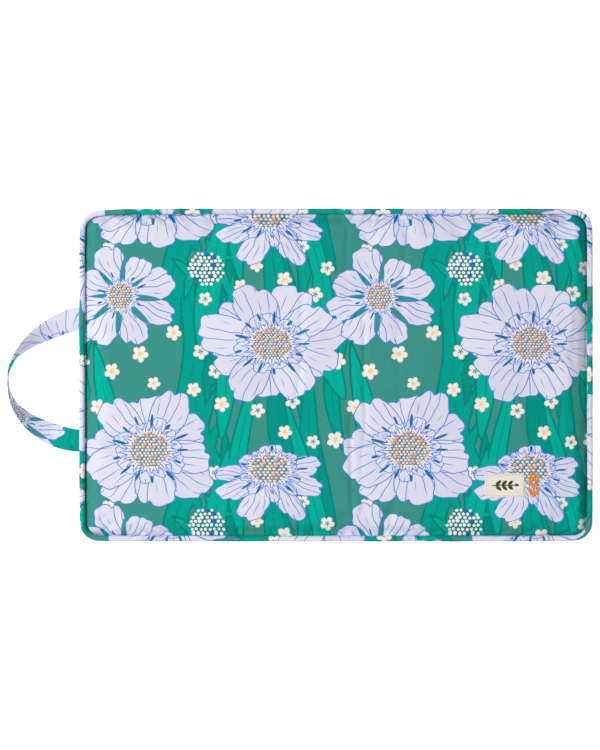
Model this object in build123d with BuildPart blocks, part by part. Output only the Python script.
"""A garden kneeling pad: a foam slab in a zipped, piped canvas cover, with a carrying loop on one short end.

The pad lies flat. +X runs along its length, away from the carrying loop, +Y runs towards the side with the zip,
+Z is up, and the origin is the middle of the base, on the ground. All sizes are in millimetres.
"""

from build123d import *

import math
import os

# ---- the pad as a whole ----
pad_length = 500.0  # along X, over the piping
pad_width = 324.0  # along Y, over the piping
pad_height = 44.0  # ground to crown
corner_radius = 18.0  # in plan, over the piping
cloth = 0.6  # one layer of canvas
crown_drop = 7.0  # crown down to the top seam
crown_roll = 5.5  # radius where the top panel turns down to its seam
base_seam = 3.5  # height of the base seam
base_roll = 1.8  # radius where the base panel turns up to its seam

# ---- piping ----
piping_diameter = 5.6  # over its cloth
cord_clearance = 0.05
allowance_drop = 8.0  # how far the piping's seam allowance reaches along the back of the side band
allowance_setback = 2.0  # face of the side band to the allowance, which leaves room for hem and zip tape

# ---- foam ----
foam_setback = 4.0  # face of the side band to the foam
foam_gap = 0.2  # above and below the foam
foam_edge = 3.0  # rounding of the foam's edges

# ---- zip ----
zip_end_margin = 35.0  # end of the pad to the end of the strips that carry the zip
zip_window = 11.0  # height between the strips' folded edges
hem_gap = 2.6  # seam to the raw edge of a strip's hem
tape_gap = 3.1  # seam to the far edge of a zip tape
tape_thickness = 0.5
coil_inner = 0.6  # middle of the chain to a coil
coil_outer = 2.1
coil_thickness = 2.0
stop_length = 2.6
chain_end_gap = 4.0  # a stop to the end of the window
slider_length = 9.0
slider_width = 8.0
slider_plate = 0.8
slider_clearance = 0.3  # coil and tape to slider, and stop to slider
slider_corner = 1.5
divider_length = 3.0
divider_width = 0.6  # the post that parts the coils
bridge_length = 5.6
bridge_width = 1.4
bridge_bar = 0.7  # thickness of the bridge over the pull's bar
bridge_leg = 1.3
pull_bar = 0.9  # thickness of the pull, and its bar under the bridge
pull_length = 21.0
pull_width = 5.2
pull_clearance = 0.15
window_clearance = 0.3  # bridge to the pull's window
stitch_height = 0.25
stitch_width = 0.6
stitch_inset = 2.0  # folded edge to stitching

# ---- carrying loop ----
strap_width = 22.0
strap_thickness = 2.4
webbing_clearance = 0.05
loop_half_span = 59.5  # middle of the loop to the middle of a strap end
loop_offset = -4.4  # the loop sits this far from the pad's middle, along Y
loop_reach = 70.0  # hinge line to the middle of the strap at the loop's far end
zip_side_fullness = 1.65  # shape of the loop in plan: 1 is an ellipse, more is slimmer
far_side_fullness = 1.25
strap_tilt = 88.0  # degrees, how far the strap has turned on its edge at the far end
strap_ground_gap = 0.3
strap_hinge_gap = 0.4  # piping to the strap's rounded end
strap_under_piping = 0.3
tail_gap = 0.3  # between a sewn tail and the swinging loop
tail_clearance = 0.1  # tail to piping, and to its notch in the side band
tail_depth = 1.8  # how far a tail reaches in from the face of the side band
loop_stations = 17

# ---- label and embroidery, on the top panel ----
label_length = 38.5
label_width = 22.8
label_thickness = 0.5
label_corner = 0.8
label_from_end = 86.5  # pad's end to the middle of the label
label_from_side = 55.0  # pad's side to the middle of the label, and of the embroidery
label_turn = 1.5  # degrees
label_stitch_inset = 1.4
sprig_length = 25.0
sprig_stem = 0.8
sprig_leaf_length = 7.0
sprig_leaf_width = 2.8
sprig_leaf_angle = 35.0
sprig_pairs = 3
bud_from_end = 58.3
bud_length = 24.0
bud_stem = 1.2
bud_cup_length = 13.0
bud_cup_width = 8.5
bud_leaf_length = 9.0
bud_leaf_width = 2.6
bud_leaf_angle = 55.0
thread_height = 0.4

# ---- worked out ----
piping_radius = piping_diameter / 2
top_seam = pad_height - crown_drop
neck = 2 * cloth  # two layers of the piping's cloth, where they pass the seam
seam_inset = piping_diameter  # outside of the piping to the face of the side band
face_x = pad_length / 2 - seam_inset
face_y = pad_width / 2 - seam_inset
band_low = base_seam + neck / 2
band_high = top_seam - neck / 2
zip_middle = (band_low + band_high) / 2
zip_panel_length = pad_length - 2 * zip_end_margin
tape_y = face_y - 2 * cloth - tape_thickness / 2  # middle plane of the zip
chain_low = -zip_panel_length / 2 + chain_end_gap
chain_high = zip_panel_length / 2 - chain_end_gap
coil_low = chain_low + stop_length
coil_high = chain_high - stop_length
slider_x = coil_high - slider_length / 2 - slider_clearance
slider_channel = coil_thickness + 2 * slider_clearance
slider_thickness = slider_channel + 2 * slider_plate
slider_face_y = tape_y + slider_thickness / 2
pull_y = slider_face_y + pull_clearance + pull_bar / 2
bridge_space = pull_bar + 2 * pull_clearance
hinge_x = -(pad_length / 2 + strap_hinge_gap + strap_thickness / 2)
strap_z = top_seam - piping_radius - strap_under_piping - strap_thickness / 2
strap_ends = (loop_offset + loop_half_span, loop_offset - loop_half_span)

os.makedirs("parts", exist_ok=True)


def plan(inset):
    """The pad's outline, pulled in by inset all round."""
    return RectangleRounded(pad_length - 2 * inset, pad_width - 2 * inset, corner_radius - inset)


def ring(near, far):
    """The strip between the pad's outline pulled in by near and by far."""
    plan(near)
    RectangleRounded(
        pad_length - 2 * far, pad_width - 2 * far, corner_radius - far, mode=Mode.SUBTRACT
    )


def save(piece, name):
    """Labels a finished piece and writes it as its own STEP file."""
    piece.part.label = name
    export_step(piece.part, f"parts/{name}.step")


# ---- foam ----
with BuildPart() as foam_core:
    with BuildSketch(Plane.XY.offset(cloth + foam_gap)):
        plan(seam_inset + foam_setback)
    extrude(amount=pad_height - 2 * (cloth + foam_gap))
    fillet(foam_core.faces().filter_by(Axis.Z).edges(), foam_edge)
save(foam_core, "foam_core")

# ---- top and base panels: shallow trays, open towards the foam ----
with BuildPart() as top_panel:
    with BuildSketch(Plane.XY.offset(top_seam + neck / 2)):
        plan(seam_inset)
    extrude(amount=crown_drop - neck / 2)
    fillet(top_panel.faces().sort_by(Axis.Z)[-1].edges(), crown_roll)
    offset(amount=-cloth, openings=top_panel.faces().sort_by(Axis.Z)[0])
save(top_panel, "top_panel")

with BuildPart() as base_panel:
    with BuildSketch(Plane.XY):
        plan(seam_inset)
    extrude(amount=base_seam - neck / 2)
    fillet(base_panel.faces().sort_by(Axis.Z)[0].edges(), base_roll)
    offset(amount=-cloth, openings=base_panel.faces().sort_by(Axis.Z)[-1])
save(base_panel, "base_panel")


# ---- piping: a cord in a tube of cloth, whose two layers pass the seam and turn along the side band ----
def piping_path(height):
    """The middle line of a piping, all round the pad."""
    with BuildSketch(Plane.XY.offset(height)) as area:
        plan(piping_radius)
    return area.sketch.face().outer_wire()


def section_plane(path):
    """A plane across the path's start: its x points into the pad, its y up."""
    along = path % 0
    inward = Vector(0, 0, 1).cross(along)
    if inward.dot(path @ 0) > 0:
        along, inward = -along, -inward
    return Plane(origin=path @ 0, x_dir=inward, z_dir=along)


def piping(name, height, turn):
    """Cover and cord of one piping. turn is -1 where the allowance hangs down, +1 where it stands up."""
    path = piping_path(height)
    flange_near = piping_radius + allowance_setback
    flange_far = flange_near + neck
    with BuildPart() as cover:
        with BuildSketch(section_plane(path)):
            Circle(piping_radius)
            with Locations((flange_far / 2, 0)):
                Rectangle(flange_far, neck)
            with Locations(((flange_near + flange_far) / 2, turn * allowance_drop / 2)):
                Rectangle(neck, allowance_drop)
            Circle(piping_radius - cloth, mode=Mode.SUBTRACT)
        sweep(path=path)
    save(cover, f"{name}_piping_cover")
    with BuildPart() as cord:
        with BuildSketch(section_plane(path)):
            Circle(piping_radius - cloth - cord_clearance)
        sweep(path=path)
    save(cord, f"{name}_piping_cord")


piping("top", top_seam, -1)
piping("base", base_seam, 1)


# ---- carrying loop ----
def rise(share):
    """Eases from 0 to 1 as share goes from 0 to 1."""
    return share * share * (3 - 2 * share)


def strap_place(angle):
    """Middle of the strap, for an angle of 0 at one end to 180 at the other."""
    swing = math.radians(angle)
    fullness = zip_side_fullness if angle < 90 else far_side_fullness
    share = rise(1 - abs(angle - 90) / 90)
    edge = math.radians(strap_tilt)
    far_z = strap_ground_gap + (strap_width * math.sin(edge) + strap_thickness * math.cos(edge)) / 2
    return Vector(
        hinge_x - loop_reach * abs(math.sin(swing)) ** fullness,
        loop_offset + loop_half_span * math.cos(swing),
        strap_z + (far_z - strap_z) * share,
    )


def strap_plane(angle):
    """A plane across the strap: its x runs over the strap's width, from the inner edge to the outer."""
    if angle in (0, 180):
        along = Vector(-1 if angle == 0 else 1, 0, 0)
    else:
        along = (strap_place(angle + 0.5) - strap_place(angle - 0.5)).normalized()
    outward = along.cross(Vector(0, 0, 1)).normalized()
    up = outward.cross(along)
    tilt = math.radians(strap_tilt) * rise(1 - abs(angle - 90) / 90)
    across = outward * math.cos(tilt) + up * math.sin(tilt)
    return Plane(origin=strap_place(angle), x_dir=across, z_dir=along)


def strap_loop(width, thickness):
    """A flat strap that leaves the seam lying flat, and stands on its edge at the far end of the loop."""
    with BuildPart() as loop:
        for station in range(loop_stations):
            with BuildSketch(strap_plane(180 * station / (loop_stations - 1))):
                Rectangle(width, thickness)
        loft(ruled=True)
    return loop


webbing_width = strap_width - 2 * cloth
webbing_thickness = strap_thickness - 2 * cloth

handle_webbing = strap_loop(
    webbing_width - 2 * webbing_clearance, webbing_thickness - 2 * webbing_clearance
)
save(handle_webbing, "handle_webbing")

strap_outside = strap_loop(strap_width, strap_thickness)
strap_inside = strap_loop(webbing_width, webbing_thickness)

with BuildPart() as handle_strap:
    add(strap_outside.part)
    add(strap_inside.part, mode=Mode.SUBTRACT)
save(handle_strap, "handle_strap")

# ---- sewn ends of the carrying loop: out of the seam, down round the piping and flat under it ----
tail_end = hinge_x + strap_thickness / 2 + tail_gap
tail_low = strap_z - strap_thickness / 2
tail_high = strap_z + strap_thickness / 2
tail_top = band_high - tail_clearance
tail_inner = -face_x + tail_depth
tail_slope = band_high - tail_high

with BuildPart() as handle_tails:
    for end_y in strap_ends:
        with BuildSketch(Plane.XZ.offset(-end_y)):
            with BuildLine():
                Polyline(
                    (tail_end, tail_low),
                    (-face_x - tail_slope, tail_low),
                    (-face_x, tail_top - strap_thickness),
                    (tail_inner, tail_top - strap_thickness),
                    (tail_inner, tail_top),
                    (-face_x - tail_slope, tail_top),
                    (-face_x - tail_slope, tail_high),
                    (tail_end, tail_high),
                    close=True,
                )
            make_face()
            with Locations((-pad_length / 2 + piping_radius, top_seam)):
                Circle(piping_radius + tail_clearance, mode=Mode.SUBTRACT)
        extrude(amount=strap_width / 2, both=True)
save(handle_tails, "handle_tails")

# ---- side band: from one end of the zip round to the other, with a notch for each sewn end ----
with BuildPart() as side_band:
    with BuildSketch(Plane.XY.offset(band_low)):
        ring(seam_inset, seam_inset + cloth)
    extrude(amount=band_high - band_low)
    with Locations((0, face_y, zip_middle)):
        Box(zip_panel_length, 2 * corner_radius, pad_height, mode=Mode.SUBTRACT)
    notch_low = tail_top - strap_thickness - tail_clearance
    for end_y in strap_ends:
        with Locations((-face_x, end_y, (notch_low + pad_height) / 2)):
            Box(
                2 * tail_depth,
                strap_width + 2 * tail_clearance,
                pad_height - notch_low,
                mode=Mode.SUBTRACT,
            )
save(side_band, "side_band")


# ---- zip: two strips of cloth with hems, two tapes with a coil each, and stops at both ends ----
def zip_row(name, seam, side):
    """One half of the zip. seam is the height of its seam, and side is +1 above the chain, -1 below it."""
    fold = zip_middle + side * zip_window / 2
    hem_edge = seam - side * hem_gap
    tape_edge = seam - side * tape_gap
    coil_edge = zip_middle + side * coil_outer
    with BuildPart() as facing:
        with Locations((0, face_y - cloth / 2, (fold + seam) / 2)):
            Box(zip_panel_length, cloth, abs(seam - fold))
        with Locations((0, face_y - cloth * 1.5, (fold + hem_edge) / 2)):
            Box(zip_panel_length, cloth, abs(hem_edge - fold))
    save(facing, f"{name}_zip_facing")
    with BuildPart() as tape:
        with Locations((0, tape_y, (coil_edge + tape_edge) / 2)):
            Box(zip_panel_length, tape_thickness, abs(tape_edge - coil_edge))
    save(tape, f"{name}_zip_tape")
    with BuildPart() as coil:
        with Locations(((coil_low + coil_high) / 2, tape_y, zip_middle + side * (coil_inner + coil_outer) / 2)):
            Box(coil_high - coil_low, coil_thickness, coil_outer - coil_inner)
    save(coil, f"{name}_zip_coil")


zip_row("upper", band_high, 1)
zip_row("lower", band_low, -1)

with BuildPart() as zip_top_stops:
    stop_width = coil_outer - coil_inner
    with Locations(
        (chain_high - stop_length / 2, tape_y, zip_middle + coil_inner + stop_width / 2),
        (chain_high - stop_length / 2, tape_y, zip_middle - coil_inner - stop_width / 2),
    ):
        Box(stop_length, coil_thickness, stop_width)
save(zip_top_stops, "zip_top_stops")

with BuildPart() as zip_bottom_stop:
    with Locations((chain_low + stop_length / 2, tape_y, zip_middle)):
        Box(stop_length, coil_thickness, 2 * coil_outer)
save(zip_bottom_stop, "zip_bottom_stop")

with BuildPart() as zip_stitching:
    row = zip_window / 2 + stitch_inset
    with Locations(
        (0, face_y + stitch_height / 2, zip_middle + row),
        (0, face_y + stitch_height / 2, zip_middle - row),
    ):
        Box(zip_panel_length, stitch_height, stitch_width)
save(zip_stitching, "zip_stitching")

# ---- slider: two plates round the coils, a post that parts them, and a bridge for the pull ----
with BuildPart() as zip_slider:
    with Locations((slider_x, tape_y, zip_middle)):
        Box(slider_length, slider_thickness, slider_width)
        fillet(zip_slider.edges().filter_by(Axis.Y), slider_corner)
        Box(
            slider_length,
            slider_channel,
            2 * (coil_outer + slider_clearance),
            mode=Mode.SUBTRACT,
        )
        Box(
            slider_length,
            tape_thickness + 2 * slider_clearance,
            slider_width,
            mode=Mode.SUBTRACT,
        )
        Box(divider_length, slider_channel, divider_width)
    with Locations((slider_x, slider_face_y + (bridge_space + bridge_bar) / 2, zip_middle)):
        Box(bridge_length, bridge_space + bridge_bar, bridge_width)
    with Locations((slider_x, slider_face_y + bridge_space / 2, zip_middle)):
        Box(bridge_length - 2 * bridge_leg, bridge_space, bridge_width, mode=Mode.SUBTRACT)
save(zip_slider, "zip_slider")

window_reach = math.hypot(bridge_length / 2, bridge_space / 2 + bridge_bar) + window_clearance

with BuildPart() as zip_pull:
    with BuildSketch(Plane.XZ.offset(-(pull_y + pull_bar / 2))):
        with Locations((slider_x - pull_length / 2, zip_middle)):
            Rectangle(pull_length, pull_width)
        with Locations((slider_x - window_reach / 2, zip_middle)):
            Rectangle(window_reach, bridge_width + 2 * window_clearance, mode=Mode.SUBTRACT)
    extrude(amount=pull_bar)
    fillet(zip_pull.edges().filter_by(Axis.Y).group_by(Axis.X)[0], pull_width / 3)
    with Locations((slider_x, pull_y, zip_middle)):
        Cylinder(pull_bar / 2, pull_width)
save(zip_pull, "zip_pull")


# ---- label and embroidery ----
def leaf_pair(place, length, width, angle):
    """Two leaves that spread from a place on a stem, one to each side of its +X direction."""
    for turn in (angle, -angle):
        reach = Vector(length / 2, 0).rotate(Axis.Z, turn)
        with Locations(Location((place + reach.X, reach.Y), turn)):
            Ellipse(length / 2, width / 2)


label_plane = Plane.XY.offset(pad_height).move(
    Location((pad_length / 2 - label_from_end, label_from_side - pad_width / 2, 0), (0, 0, label_turn))
)
bud_plane = Plane.XY.offset(pad_height).move(
    Location((pad_length / 2 - bud_from_end, label_from_side - pad_width / 2, 0), (0, 0, 90))
)

with BuildPart() as label_patch:
    with BuildSketch(label_plane):
        RectangleRounded(label_length, label_width, label_corner)
    extrude(amount=label_thickness)
save(label_patch, "label_patch")

with BuildPart() as label_stitching:
    with BuildSketch(label_plane.offset(label_thickness)):
        Rectangle(label_length - 2 * label_stitch_inset, label_width - 2 * label_stitch_inset)
        Rectangle(
            label_length - 2 * (label_stitch_inset + stitch_width),
            label_width - 2 * (label_stitch_inset + stitch_width),
            mode=Mode.SUBTRACT,
        )
    extrude(amount=stitch_height)
save(label_stitching, "label_stitching")

with BuildPart() as label_sprig:
    with BuildSketch(label_plane.offset(label_thickness)):
        Rectangle(sprig_length, sprig_stem)
        for pair in range(sprig_pairs):
            root = sprig_length * ((pair + 0.5) / sprig_pairs - 0.5)
            leaf_pair(root, sprig_leaf_length, sprig_leaf_width, sprig_leaf_angle)
    extrude(amount=stitch_height)
save(label_sprig, "label_sprig")

with BuildPart() as embroidered_bud:
    with BuildSketch(bud_plane):
        with Locations((-bud_cup_length / 2, 0)):
            Rectangle(bud_length - bud_cup_length, bud_stem)
        with Locations(((bud_length - bud_cup_length) / 2, 0)):
            Ellipse(bud_cup_length / 2, bud_cup_width / 2)
        leaf_pair(-bud_length / 2 + bud_stem, bud_leaf_length, bud_leaf_width, bud_leaf_angle)
    extrude(amount=thread_height)
save(embroidered_bud, "embroidered_bud")
